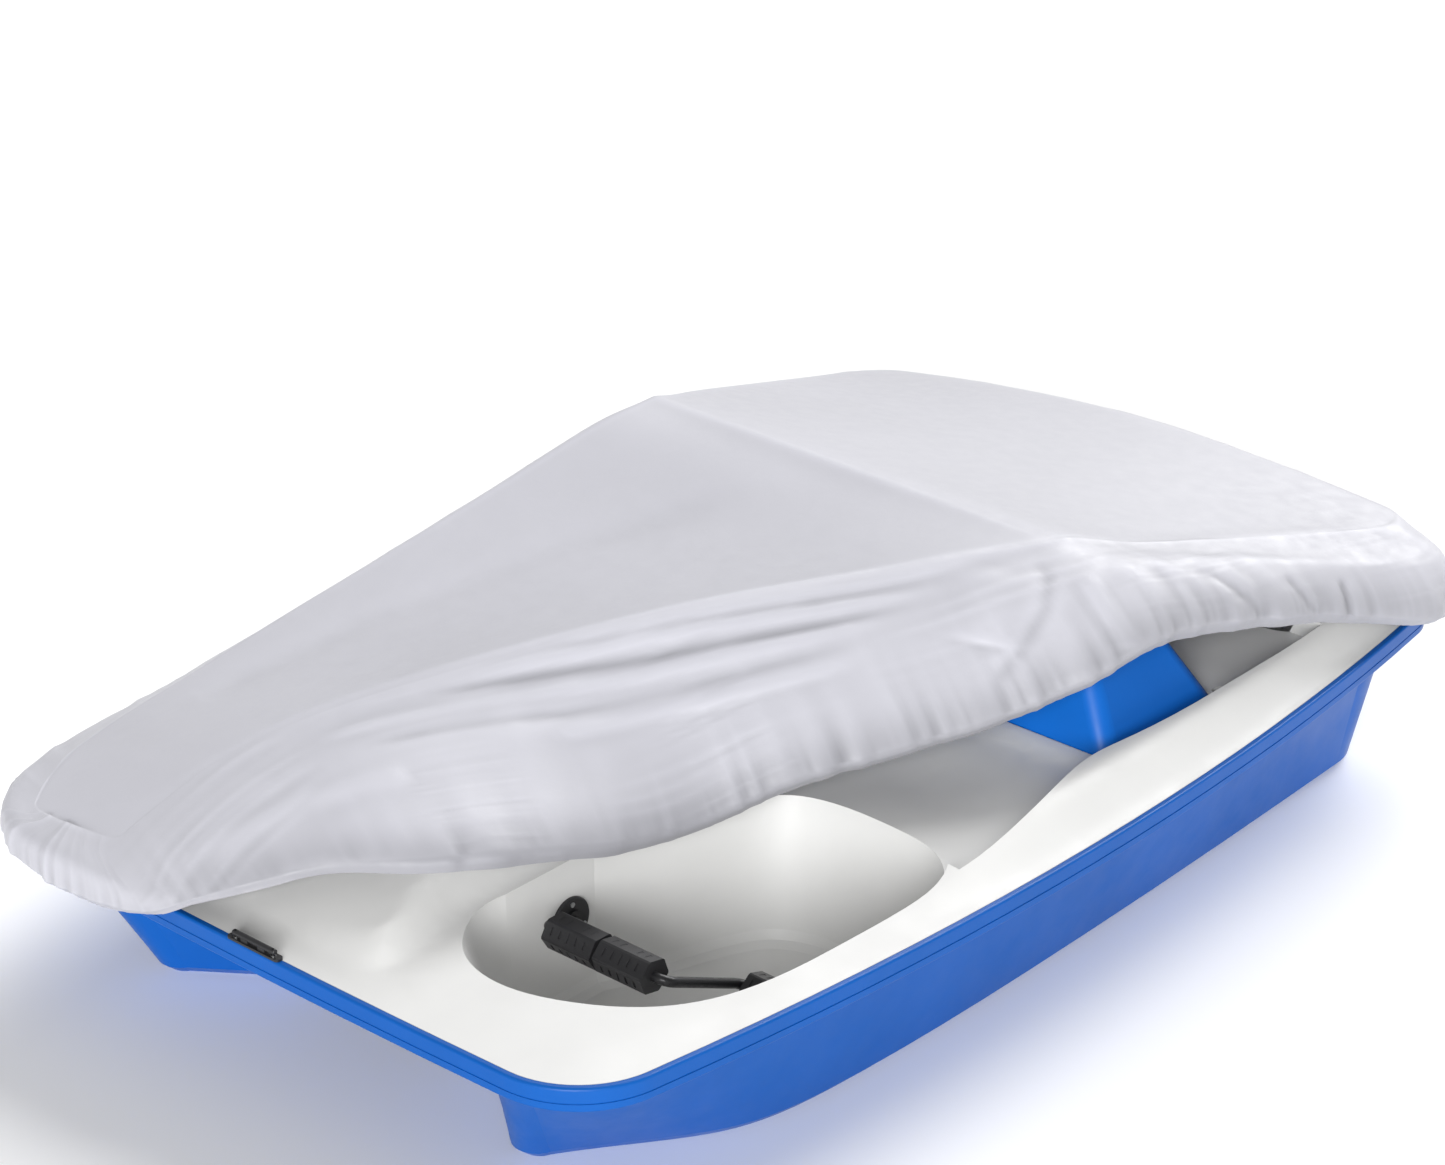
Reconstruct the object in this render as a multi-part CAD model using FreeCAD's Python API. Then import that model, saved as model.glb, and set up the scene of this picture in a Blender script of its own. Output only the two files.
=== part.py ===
"""Five-seat pedal boat with a lifted storage cover.

Frame: +X to the bow, +Y to port, +Z up; the origin is on the ground under the
middle of the deck.  All dimensions are in millimetres.
"""
import os
import FreeCAD, Part
from math import cos, sin, radians, pi, sqrt
from FreeCAD import Vector

os.makedirs("parts", exist_ok=True)

X = Vector(1, 0, 0)
Y = Vector(0, 1, 0)
Z = Vector(0, 0, 1)

# ---------------------------------------------------------------- driving dimensions
LENGTH = 2350.0            # moulded length of the deck
BEAM = 1576.0              # moulded beam amidships
SIDE_CURVE = 73.0          # how far the side has come in 1 m from amidships
END_CURVE = 28.0           # how far the bow or stern has come in 1 m off the centreline
BOW_CORNER = 165.0
STERN_CORNER = 90.0
SKIN = 5.0                 # wall of both mouldings
RIM_Z = 285.0              # top of the rim
RIM_OUT = 12.0             # rim outside the deck edge
RIM_DEEP = 42.0
WALL_IN = 26.0             # hull wall inside the deck edge
BILGE = 16.0               # height of the rounded edge of the keel

TUNNEL_HALF = 172.0        # half width of the paddle tunnel
TUNNEL_ROOF = 238.0
FLOOR_Z = 26.0             # footwell floor

CRANK_X = 651.0
CRANK_Z = 181.0
THROW = 101.0              # crank arm
THROW_ANGLE = 25.0         # inner port throw above the horizontal at rest
BAR_R = 9.0
BUSH_R = 14.0              # outside of a crank bush, and the hole it sits in
PEDAL_R = 35.0
PEDAL_LONG = 107.0
OUTER_PEDAL_LONG = 90.0
WHEEL_R = 150.0
WHEEL_HALF = 124.0
WELL_R = 166.0             # inside radius of the wheel housing
HUMP_HALF = 184.0
HUMP_TOP = 364.0

DECK_LIFT = 0.8            # deck edge above the shelf it is bonded to
GUNWALE_IN = 690.0         # inner top edge of the gunwale
GUNWALE_LOW = 291.0
GUNWALE_HIGH = 346.0

SEAT_FRONT_X = 228.0
BACK_FRONT_X = -205.0      # foot of the backrest
BACK_REAR_X = -528.0
BACK_FOOT_Z = 304.0
BACK_TOP_Z = 622.0

RUDDER_X = -1010.0
STOCK_R = 8.0
STOCK_BUSH_R = 14.0
STEER_X = 330.0            # steering shaft behind the wheel housing
LINK_ARM = 60.0            # both steering arms
LINK_Z = 249.0             # underside of both arms

DRAIN_Y = 420.0
DRAIN_Z = 60.0
DRAIN_R = 14.0

RUNNING = 0.05             # radial clearance of every shaft in its bush


def save(name, *solids):
    """Write one node; several solids become one group."""
    shape = solids[0] if len(solids) == 1 else Part.makeCompound(list(solids))
    shape.exportStep("parts/" + name + ".step")


def fuse(first, *others):
    return first.fuse(list(others)).removeSplitter()


def mirrored(shape):
    """The starboard twin of a port shape."""
    return shape.mirror(Vector(0, 0, 0), Y)


def box(x0, x1, y0, y1, z0, z1):
    return Part.makeBox(x1 - x0, y1 - y0, z1 - z0, Vector(x0, y0, z0))


def rod(start, end, radius):
    along = end - start
    return Part.makeCylinder(radius, along.Length, start, along)


def smooth(t):
    """0 below 0, 1 above 1, with an S-curve between."""
    t = min(1.0, max(0.0, t))
    return t * t * (3 - 2 * t)


def between(x, start, end):
    return smooth((x - start) / (end - start))


def both_sides(*distances):
    return [-d for d in reversed(distances)] + [0] + list(distances)


# ---------------------------------------------------------------- plan of the deck
DECK_X = both_sides(*range(60, 1021, 60), 1050, 1080, 1105, 1130, 1155, 1175, 1205, 1265)
DECK_Y = both_sides(50, 95, 120, 145, 170, 200, 240, 320, 440, 560, 620, 660, 690, 715, 740, 765, 790, 830)


def side_y(x):
    return BEAM / 2 - SIDE_CURVE * (x / 1000) ** 2


def end_x(y):
    return LENGTH / 2 - END_CURVE * (y / 1000) ** 2


def plan_prism(inset, z0, z1):
    """The deck outline moved in by inset, from z0 to z1."""
    corner_x = LENGTH / 2
    for _ in range(8):
        corner_y = side_y(corner_x) - inset
        corner_x = end_x(corner_y) - inset
    bow_port = Vector(corner_x, corner_y, z0)
    bow_starboard = Vector(corner_x, -corner_y, z0)
    stern_port = Vector(-corner_x, corner_y, z0)
    stern_starboard = Vector(-corner_x, -corner_y, z0)
    bow = Part.Arc(bow_starboard, Vector(LENGTH / 2 - inset, 0, z0), bow_port)
    port = Part.Arc(bow_port, Vector(0, BEAM / 2 - inset, z0), stern_port)
    stern = Part.Arc(stern_port, Vector(inset - LENGTH / 2, 0, z0), stern_starboard)
    starboard = Part.Arc(stern_starboard, Vector(0, inset - BEAM / 2, z0), bow_starboard)
    wire = Part.Wire([arc.toShape() for arc in (bow, port, stern, starboard)])
    prism = Part.Face(wire).extrude(Z * (z1 - z0))
    for radius, sign in ((BOW_CORNER, 1), (STERN_CORNER, -1)):
        corners = []
        for edge in prism.Edges:
            upright = abs(edge.BoundBox.ZLength - (z1 - z0)) < 0.01
            if upright and edge.BoundBox.XLength < 1 and edge.CenterOfMass.x * sign > 0:
                corners.append(edge)
        prism = prism.makeFillet(radius - inset, corners)
    return prism


# ---------------------------------------------------------------- hull
def moved_in(points, inset):
    """A closed run of points, counter-clockwise, with every side moved in by inset."""
    moved = []
    for here, before, after in zip(points, points[-1:] + points[:-1], points[1:] + points[:1]):
        arriving = (here - before).normalize()
        leaving = (after - here).normalize()
        left_in = Z.cross(arriving)
        left_out = Z.cross(leaving)
        moved.append(here + (left_in + left_out) * (inset / (1 + left_in.dot(left_out))))
    return moved


def pontoon_outline(level, z, inset):
    """Port float in plan; level 0 is the keel and level 1 is under the rim."""
    low_and_high = (
        ((-1050, TUNNEL_HALF), (-1112, TUNNEL_HALF)),
        ((845, TUNNEL_HALF), (915, TUNNEL_HALF)),
        ((1002, 388), (1100, 446)),
        ((1022, 425), (1128, 486)),
        ((992, 466), (1130, 550)),
        ((874, 549), (1092, 646)),
        ((738, 636), (985, side_y(985) - WALL_IN)),
        ((520, 678), (620, side_y(620) - WALL_IN)),
        ((0, 688), (0, side_y(0) - WALL_IN)),
        ((-600, 672), (-600, side_y(600) - WALL_IN)),
        ((-925, 658), (-950, side_y(950) - WALL_IN - 6)),
        ((-1008, 628), (-1066, 654)),
        ((-1050, 550), (-1112, 560)),
    )
    points = [Vector(a[0] + (b[0] - a[0]) * level, a[1] + (b[1] - a[1]) * level, z) for a, b in low_and_high]
    points = moved_in(points, inset)
    inner_aft, flare, tip_in, tip = points[:4]
    side = points[4:11]
    turn, corner = points[11:]
    spline = Part.BSplineCurve()
    spline.interpolate(side)
    edges = [
        Part.makeLine(inner_aft, flare),
        Part.makeLine(flare, tip_in),
        Part.Arc(tip_in, tip, side[0]).toShape(),
        spline.toShape(),
        Part.Arc(side[-1], turn, corner).toShape(),
        Part.makeLine(corner, inner_aft),
    ]
    return Part.Wire(edges)


def pontoon(skin):
    """Float body drawn in by the skin thickness all round."""
    top = RIM_Z - RIM_DEEP + 4
    sections = [
        pontoon_outline(0, skin, BILGE + skin),
        pontoon_outline(0, BILGE + skin / 2, skin),
        pontoon_outline(1, top, skin),
    ]
    return Part.makeLoft(sections, True, True)


def wheel_housing(grow):
    """Drum over the paddle wheel, kept just under the hump of the deck; grow moves every face inward."""
    half_width = TUNNEL_HALF - 1 - grow
    ends = [Vector(CRANK_X, y, CRANK_Z) for y in (-half_width, half_width)]
    drum = rod(ends[0], ends[1], WELL_R + SKIN - grow)
    drum = drum.common(box(0, LENGTH, -BEAM, BEAM, TUNNEL_ROOF, 500))
    return drum.common(surface_block(deck_z, SKIN + 3 + grow, DECK_X, DECK_Y, -420))


def make_hull():
    flange_z = RIM_Z - SKIN
    rim_base = RIM_Z - RIM_DEEP
    band = plan_prism(-RIM_OUT, rim_base, RIM_Z + 1)
    edges = [e for e in band.Edges if e.BoundBox.ZLength < 0.01]
    band = band.makeFillet(5.0, edges)
    groove_z = rim_base + 15
    groove = plan_prism(-RIM_OUT - 5, groove_z, groove_z + 3)
    band = band.cut(groove.cut(plan_prism(1.5 - RIM_OUT, groove_z, groove_z + 3)))
    bridge = plan_prism(WALL_IN, TUNNEL_ROOF, rim_base + 10)
    outer = fuse(band, bridge, pontoon(0), mirrored(pontoon(0)))
    outer = outer.cut(plan_prism(-0.5, flange_z, RIM_Z + 5))
    inside = plan_prism(WALL_IN + SKIN, TUNNEL_ROOF + SKIN, RIM_Z + 5)
    float_space = pontoon(SKIN)
    shell = outer.cut([inside, float_space, mirrored(float_space)])
    shell = shell.fuse(wheel_housing(0)).cut(wheel_housing(SKIN))
    shaft_hole = rod(Vector(CRANK_X, -300, CRANK_Z), Vector(CRANK_X, 300, CRANK_Z), BUSH_R)
    stock_hole = rod(Vector(RUDDER_X, 0, 200), Vector(RUDDER_X, 0, 300), STOCK_BUSH_R)
    drains = [rod(Vector(-1200, y, DRAIN_Z), Vector(-900, y, DRAIN_Z), DRAIN_R) for y in (DRAIN_Y, -DRAIN_Y)]
    return shell.cut([shaft_hole, stock_hole] + drains)


# ---------------------------------------------------------------- deck
def gunwale(x):
    """Height of the gunwale's inner edge."""
    return GUNWALE_LOW + (GUNWALE_HIGH - GUNWALE_LOW) * between(x, 480, -20)


def hump(x):
    """Height of the wheel housing and of the low ridge behind it."""
    rise = min(1.0, max(0.0, (1125 - x) / 250))
    rise = rise * (1 - 0.25 * (1 - rise) * rise)
    fall = between(x, 520, 380)
    return GUNWALE_LOW + (HUMP_TOP - GUNWALE_LOW) * rise - (HUMP_TOP - 336) * fall


def deck_z(x, y):
    """Top of the deck before the wells and the seats are let into it."""
    away = abs(y)
    edge = side_y(x)
    inboard = smooth((edge - away) / max(edge - GUNWALE_IN, 85))
    ends = smooth((end_x(y) - abs(x)) / 110)
    height = gunwale(x)
    half = 98 + 72 * min(1.0, max(0.0, (x - 885) / 225))
    over_hump = 1 - smooth((away - half) / (90 - 50 * between(x, 900, 1080)))
    height = max(height, GUNWALE_LOW)
    crown = height + (max(hump(x), height) - height) * over_hump
    edge_z = RIM_Z + DECK_LIFT
    return edge_z + (crown - edge_z) * inboard * ends


def seat_z(x, y):
    """Top of the benches: three bowls in front of the backrest and two behind it."""
    seat_pitch = 435.0
    under_bottom = 0.5 + 0.5 * cos(2 * pi * y / seat_pitch)
    front = 286 + 12 * between(x, SEAT_FRONT_X, BACK_FRONT_X + 40)
    bowl = 12 * under_bottom * sin(pi * min(1.0, max(0.0, (SEAT_FRONT_X - x) / 440))) ** 2
    rear = 306 + 6 * between(x, -800, BACK_REAR_X)
    base = front - bowl + (rear - front) * between(x, -300, -450)
    behind_front = between(x, BACK_FRONT_X + 50, BACK_FRONT_X + 4)
    behind_rear = between(x, BACK_REAR_X - 4, BACK_REAR_X - 50)
    return base + (BACK_FOOT_Z + 3 - base) * behind_front * (1 - behind_rear)


def surface_block(height, drop, x_lines, y_lines, depth):
    """Solid between the surface height(x, y) moved down by drop and a level depth above or below it."""
    grid = [[Vector(x, y, height(x, y) - drop) for y in y_lines] for x in x_lines]
    sheet = Part.BSplineSurface()
    sheet.interpolate(grid)
    return sheet.toShape().extrude(Z * depth)


def bench_opening(grow):
    """Everything above the benches, inside the gunwales."""
    reach = (SEAT_FRONT_X + 40 + grow, -830 - grow)
    port = [Vector(x, y + grow, 0) for x, y in (
        (reach[0], 702), (120, 702), (0, 686), (-140, 662), (-240, 670), (-540, 678), (reach[1], 664))]
    edge = Part.BSplineCurve()
    edge.interpolate(port)
    other = Part.BSplineCurve()
    other.interpolate([Vector(p.x, -p.y, 0) for p in port])
    front = Part.makeLine(Vector(port[0].x, -port[0].y, 0), port[0])
    rear = Part.makeLine(port[-1], Vector(port[-1].x, -port[-1].y, 0))
    wire = Part.Wire([front, edge.toShape(), rear, other.toShape()])
    prism = Part.Face(wire).extrude(Z * 600)
    x_lines = [290 - 40 * i for i in range(30)]
    y_lines = both_sides(73, 145, 218, 290, 363, 435, 508, 580, 653, 730)
    return prism.common(surface_block(seat_z, grow, x_lines, y_lines, 400))


def back_recess(grow):
    """Flat shallow recess the backrest stands in."""
    half = 656 + grow
    return box(BACK_REAR_X - 4 - grow, BACK_FRONT_X + 4 + grow, -half, half, BACK_FOOT_Z - grow, 400)


def well(rows, straight, floor, top, grow):
    """A tub let into the deck; rows hold matching floor and rim points, counter-clockwise."""
    def ring(level, z, extra):
        points = [Vector(a[0] + (b[0] - a[0]) * level, a[1] + (b[1] - a[1]) * level, z) for a, b in rows]
        points = moved_in(points, extra - grow)
        curve = Part.BSplineCurve()
        curve.interpolate(points[straight:] + points[:1])
        lines = [Part.makeLine(points[i], points[i + 1]) for i in range(straight)]
        return Part.Wire(lines + [curve.toShape()])

    corner = 24.0
    over = 100.0
    level = 1 + over / (top - floor)
    sections = [
        ring(0, floor - grow, corner * 0.9),
        ring(corner / 3 / (top - floor), floor - grow + corner / 3, corner * 0.25),
        ring(corner / (top - floor), floor - grow + corner, 0),
        ring(level, top + over, 0),
    ]
    return Part.makeLoft(sections, True, True)


FRONT_WELL = (
    ((590, HUMP_HALF), (590, HUMP_HALF)),
    ((780, HUMP_HALF), (800, HUMP_HALF)),
    ((836, 228), (915, 202)),
    ((872, 300), (982, 268)),
    ((888, 385), (1004, 378)),
    ((872, 466), (978, 475)),
    ((826, 540), (920, 570)),
    ((765, 598), (830, 642)),
    ((680, 634), (725, 676)),
    ((560, 652), (600, 690)),
    ((420, 652), (424, 698)),
    ((315, 632), (285, 686)),
    ((262, 560), (212, 610)),
    ((250, 470), (192, 500)),
    ((252, 380), (192, 395)),
    ((285, 312), (228, 292)),
    ((370, 262), (330, 242)),
    ((480, 226), (450, 205)),
)
REAR_WELL = (
    ((-1000, 205), (-1048, 196)),
    ((-880, 205), (-842, 196)),
    ((-862, 225), (-820, 218)),
    ((-856, 320), (-812, 320)),
    ((-856, 460), (-812, 500)),
    ((-868, 560), (-822, 600)),
    ((-900, 590), (-860, 628)),
    ((-980, 590), (-1020, 622)),
    ((-1016, 560), (-1056, 590)),
    ((-1022, 460), (-1066, 480)),
    ((-1022, 320), (-1066, 320)),
    ((-1018, 225), (-1064, 215)),
)
REAR_FLOOR_Z = 120.0
DRAIN_POCKETS = ((BACK_FRONT_X + 8, 648), (BACK_REAR_X - 20, 640))


def deck_solid(grow):
    """Deck as a block, with its wells and benches cut out; grow moves every face inward."""
    lid = surface_block(deck_z, grow, DECK_X, DECK_Y, -420)
    plan = plan_prism(1.0, FLOOR_Z - SKIN, 600) if grow == 0 else plan_prism(-3.0, -100, 600)
    block = plan.common(lid)
    front = well(FRONT_WELL, 1, FLOOR_Z, 300, grow)
    rear = well(REAR_WELL, 1, REAR_FLOOR_Z, 330, grow)
    for hollow in (front, mirrored(front), rear, mirrored(rear), bench_opening(grow), back_recess(grow)):
        block = block.cut(hollow)
    for x, y in DRAIN_POCKETS:
        pocket = rod(Vector(x, y, BACK_FOOT_Z - 18 - grow), Vector(x, y, BACK_FOOT_Z + 20), 13 + grow)
        block = block.cut([pocket, mirrored(pocket)])
    return block


def make_deck():
    shell = deck_solid(0).cut(deck_solid(SKIN))
    shaft_hole = rod(Vector(CRANK_X, -300, CRANK_Z), Vector(CRANK_X, 300, CRANK_Z), BUSH_R)
    steer_hole = rod(Vector(STEER_X, 0, 300), Vector(STEER_X, 0, 400), STOCK_BUSH_R)
    return shell.cut([shaft_hole, steer_hole])


# ---------------------------------------------------------------- backrest
def rounded_slab(x0, x1, half, z, radius):
    """Level rounded rectangle as a wire."""
    slab = box(x0, x1, -half, half, z, z + 10)
    corners = [e for e in slab.Edges if e.BoundBox.ZLength > 9]
    slab = slab.makeFillet(radius, corners)
    return min(slab.Faces, key=lambda face: face.CenterOfMass.z).OuterWire


def backrest_solid(skin):
    rows = (
        (BACK_FOOT_Z + 1 - skin * 2, BACK_REAR_X, BACK_FRONT_X, 652, 34),
        (BACK_FOOT_Z + 136, BACK_REAR_X + 66, BACK_FRONT_X - 38, 575, 30),
        (BACK_TOP_Z - 42, BACK_REAR_X + 150, BACK_FRONT_X - 66, 485, 28),
        (BACK_TOP_Z - 14, BACK_REAR_X + 168, BACK_FRONT_X - 76, 465, 20),
        (BACK_TOP_Z - skin, BACK_REAR_X + 186, BACK_FRONT_X - 94, 445, 12),
    )
    wires = []
    for z, x0, x1, half, radius in rows:
        wires.append(rounded_slab(x0 + skin, x1 - skin, half - skin, z, radius - skin))
    return Part.makeLoft(wires, True, True)


def make_backrest():
    return backrest_solid(0).cut(backrest_solid(SKIN))


# ---------------------------------------------------------------- crank, pedals and paddle wheel
PEDAL_STARTS = (241.0, 354.0)
WEB_Y = 486.0
OUTER_PEDAL_START = 508.0
INNER_ARM_Y = 216.0
OUTER_ARM_Y = 620.0
CRANK_END_Y = 662.0
OUTER_BEARING_Y = 643.0
BEND = 20.0


def bent_bar(points, radius, bend):
    """Round bar along straight runs joined by arcs."""
    edges = []
    start = points[0]
    for before, here, after in zip(points, points[1:], points[2:]):
        into = (here - before).normalize()
        out = (after - here).normalize()
        first = here - into * bend
        last = here + out * bend
        centre = here - into * bend + out * bend
        middle = centre + (here - centre).normalize() * bend
        edges.append(Part.makeLine(start, first))
        edges.append(Part.Arc(first, middle, last).toShape())
        start = last
    edges.append(Part.makeLine(start, points[-1]))
    along = (points[1] - points[0]).normalize()
    ring = Part.Wire(Part.makeCircle(radius, points[0], along))
    return Part.Wire(edges).makePipeShell([ring], True, False)


def throw_point(side, angle, reach, y):
    """A point of the crank; the starboard side turns half a turn behind the port side."""
    turn = radians(angle)
    return Vector(CRANK_X + side * reach * cos(turn), side * y, CRANK_Z + side * reach * sin(turn))


def crank_bar(side):
    at = lambda reach, y: throw_point(side, THROW_ANGLE, reach, y)
    points = [at(0, 60), at(0, INNER_ARM_Y), at(THROW, INNER_ARM_Y), at(THROW, WEB_Y)]
    points += [at(-THROW, WEB_Y), at(-THROW, OUTER_ARM_Y), at(0, OUTER_ARM_Y), at(0, CRANK_END_Y)]
    return bent_bar(points, BAR_R, BEND)


def pedal(side, reach, start, long, tilt):
    """Six-sided tread block with grooved faces, free to turn on its throw."""
    centre = throw_point(side, THROW_ANGLE, reach, start)
    corners = []
    for i in range(7):
        turn = radians(60 * i + tilt)
        corners.append(Vector(PEDAL_R * cos(turn), 0, PEDAL_R * sin(turn) * 0.92))
    block = Part.Face(Part.makePolygon(corners)).extrude(Y * long)
    block = block.makeChamfer(2.5, [e for e in block.Edges if e.BoundBox.YLength > long - 1])
    waist = long / 2
    grooves = []
    face_r = PEDAL_R * 0.8
    for i in range(6):
        bar = box(-9, 9, waist - 1.5, waist + 1.5, face_r, face_r + 8)
        grooves.append(bar.rotate(Vector(0, 0, 0), Y, 90 - (60 * i + 30 + tilt)))
        for k in (-2, -1, 1, 2):
            rib = box(-7, 7, waist + k * long / 6 - 2.5, waist + k * long / 6 + 2.5, face_r - 0.5, face_r + 8)
            grooves.append(rib.rotate(Vector(0, 0, 0), Y, 90 - (60 * i + 30 + tilt)))
    block = block.cut(grooves)
    block = block.cut(rod(Vector(0, -1, 0), Vector(0, long + 1, 0), BAR_R + RUNNING))
    if side < 0:
        block = mirrored(block)
    return block.translate(centre)


def inner_bearing():
    """Flanged bush through both skins at the side of the wheel housing."""
    body = rod(Vector(CRANK_X, 160, CRANK_Z), Vector(CRANK_X, HUMP_HALF + 1, CRANK_Z), BUSH_R)
    flange = rod(Vector(CRANK_X, HUMP_HALF, CRANK_Z), Vector(CRANK_X, HUMP_HALF + 7, CRANK_Z), 42)
    rim = [e for e in flange.Edges if abs(e.CenterOfMass.y - HUMP_HALF - 7) < 0.1 and e.BoundBox.ZLength > 70]
    flange = flange.makeFillet(3.0, rim)
    boss = rod(Vector(CRANK_X, HUMP_HALF + 6, CRANK_Z), Vector(CRANK_X, HUMP_HALF + 12, CRANK_Z), 20)
    bearing = fuse(body, flange, boss)
    holes = [rod(p, p + Y * 20, 2.6) for p in bearing_screw_points(HUMP_HALF - 2)]
    bore = rod(Vector(CRANK_X, 0, CRANK_Z), Vector(CRANK_X, 300, CRANK_Z), BAR_R + RUNNING)
    return bearing.cut([bore] + holes)


def bearing_screw_points(y):
    reach = 31.0
    angles = [radians(90 + 120 * i) for i in range(3)]
    return [Vector(CRANK_X + reach * cos(a), y, CRANK_Z + reach * sin(a)) for a in angles]


def bearing_screws():
    screws = []
    for foot in bearing_screw_points(HUMP_HALF):
        head = foot + Y * 7
        screws.append(fuse(rod(foot, head, 2.55), rod(head, head + Y * 2, 4.6)))
    return screws


def outer_bearing():
    """Foot block that carries the outer end of a crank, shaped to the side of the well."""
    block = box(CRANK_X - 34, CRANK_X + 34, OUTER_BEARING_Y, 720, CRANK_Z - 24, CRANK_Z + 24)
    block = block.makeFillet(8, [e for e in block.Edges if e.BoundBox.YLength > 60])
    room = well(FRONT_WELL, 1, FLOOR_Z, 300, 0)
    block = block.common(room)
    bore_end = Vector(CRANK_X, CRANK_END_Y + 1, CRANK_Z)
    return block.cut(rod(Vector(CRANK_X, 0, CRANK_Z), bore_end, BAR_R + RUNNING))


def paddle_hub():
    hub = rod(Vector(CRANK_X, -WHEEL_HALF, CRANK_Z), Vector(CRANK_X, WHEEL_HALF, CRANK_Z), 30)
    for y in (-WHEEL_HALF, WHEEL_HALF - 8):
        hub = hub.fuse(rod(Vector(CRANK_X, y, CRANK_Z), Vector(CRANK_X, y + 8, CRANK_Z), 62))
    bore = rod(Vector(CRANK_X, 60, CRANK_Z), Vector(CRANK_X, 200, CRANK_Z), BAR_R)
    return hub.cut([bore, mirrored(bore)])


def paddle_blades():
    blades = []
    count = 6
    for i in range(count):
        blade = box(30, WHEEL_R, -WHEEL_HALF + 8, WHEEL_HALF - 8, -3, 3)
        tip = box(WHEEL_R - 26, WHEEL_R, -WHEEL_HALF + 8, WHEEL_HALF - 8, 2, 9)
        blade = blade.fuse(tip).common(rod(Vector(0, -200, 0), Vector(0, 200, 0), WHEEL_R))
        blade = blade.cut(rod(Vector(0, -200, 0), Vector(0, 200, 0), 30))
        blade.rotate(Vector(0, 0, 0), Y, 360.0 / count * i + 12)
        blades.append(blade.translate(Vector(CRANK_X, 0, CRANK_Z)))
    return blades


# ---------------------------------------------------------------- steering
def upright(x, z0, z1, radius):
    return rod(Vector(x, 0, z0), Vector(x, 0, z1), radius)


def upright_bush(x, z0, z1, flange_z):
    body = upright(x, z0, z1, STOCK_BUSH_R)
    body = body.fuse(upright(x, flange_z, flange_z + 4, STOCK_BUSH_R + 8))
    return body.cut(upright(x, z0 - 10, z1 + 20, STOCK_R + RUNNING))


def steering_arm(x, z):
    """Flat arm to port with a hole for the link's pin."""
    arm = box(x - 12, x + 12, 0, LINK_ARM, z, z + 5)
    arm = fuse(arm, upright(x, z, z + 5, 18), rod(Vector(x, LINK_ARM, z), Vector(x, LINK_ARM, z + 5), 12))
    pin_hole = rod(Vector(x, LINK_ARM, z - 1), Vector(x, LINK_ARM, z + 6), 4 + RUNNING)
    return arm.cut([upright(x, z - 1, z + 6, STOCK_R), pin_hole])


def steering_lever():
    """Shaft with a forward bend and a short upright for the hand."""
    points = [Vector(STEER_X, 0, 244), Vector(STEER_X, 0, 384), Vector(STEER_X - 110, 0, 396)]
    return bent_bar_any(points, STOCK_R)


def bent_bar_any(points, radius):
    """Round bar with ball corners, for bends that are not square."""
    bar = rod(points[0], points[1], radius)
    for corner, after in zip(points[1:], points[2:]):
        bar = bar.fuse([Part.makeSphere(radius, corner), rod(corner, after, radius)])
    return bar.removeSplitter()


def steering_grip():
    start = Vector(STEER_X - 30, 0, 384 + 12 * 30 / 110)
    end = Vector(STEER_X - 124, 0, 384 + 12 * 124 / 110)
    grip = rod(start, end, 14)
    grip = grip.makeFillet(5, [e for e in grip.Edges if e.Closed])
    return grip.cut(rod(Vector(STEER_X, 0, 384), Vector(STEER_X - 110, 0, 396), STOCK_R))


def link_rod():
    """Flat-ended rod joining the two steering arms, above both."""
    z = LINK_Z + 5.5
    bar = box(RUDDER_X, STEER_X, LINK_ARM - 5, LINK_ARM + 5, z, z + 5)
    ends = []
    pins = []
    for x in (RUDDER_X, STEER_X):
        ends.append(rod(Vector(x, LINK_ARM, z), Vector(x, LINK_ARM, z + 5), 10))
        pins.append(rod(Vector(x, LINK_ARM, LINK_Z - 4), Vector(x, LINK_ARM, z + 1), 4))
    return fuse(bar, *(ends + pins))


def rudder_blade():
    profile = [Vector(RUDDER_X + 50, 0, 205), Vector(RUDDER_X + 46, 0, 60), Vector(RUDDER_X - 70, 0, 40),
               Vector(RUDDER_X - 100, 0, 200), Vector(RUDDER_X + 50, 0, 205)]
    blade = Part.Face(Part.makePolygon(profile)).extrude(Y * 10).translate(Y * -5)
    corners = [e for e in blade.Edges if e.BoundBox.YLength > 9 and e.BoundBox.ZLength < 1]
    blade = blade.makeFillet(12, corners)
    post = upright(RUDDER_X, 90, 225, 15)
    blade = fuse(blade, post)
    return blade.cut(upright(RUDDER_X, 110, 240, STOCK_R))


# ---------------------------------------------------------------- fittings
CLEAT_X = LENGTH / 2 + 4
CLEAT_Z = RIM_Z + 1.5        # foot of the cleat, just clear of the deck's edge
CLEAT_HOLE_Y = 44.0


def bow_cleat():
    """Low double-horned cleat across the bow rim."""
    z = CLEAT_Z
    base = box(CLEAT_X - 9, CLEAT_X + 8, -60, 60, z, z + 4)
    base = base.makeFillet(7, [e for e in base.Edges if e.BoundBox.ZLength > 3.9 and e.BoundBox.YLength < 1])
    legs = [box(CLEAT_X - 4, CLEAT_X + 5, y - 8, y + 8, z + 3, z + 10) for y in (-20, 20)]
    horn = rod(Vector(CLEAT_X, -50, z + 12), Vector(CLEAT_X, 50, z + 12), 5)
    horn = horn.makeFillet(3, [e for e in horn.Edges if e.Closed])
    cleat = fuse(base, horn, *legs)
    for y in (-CLEAT_HOLE_Y, CLEAT_HOLE_Y):
        cleat = cleat.cut(rod(Vector(CLEAT_X, y, z - 1), Vector(CLEAT_X, y, z + 30), 2.6))
    return cleat


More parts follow.
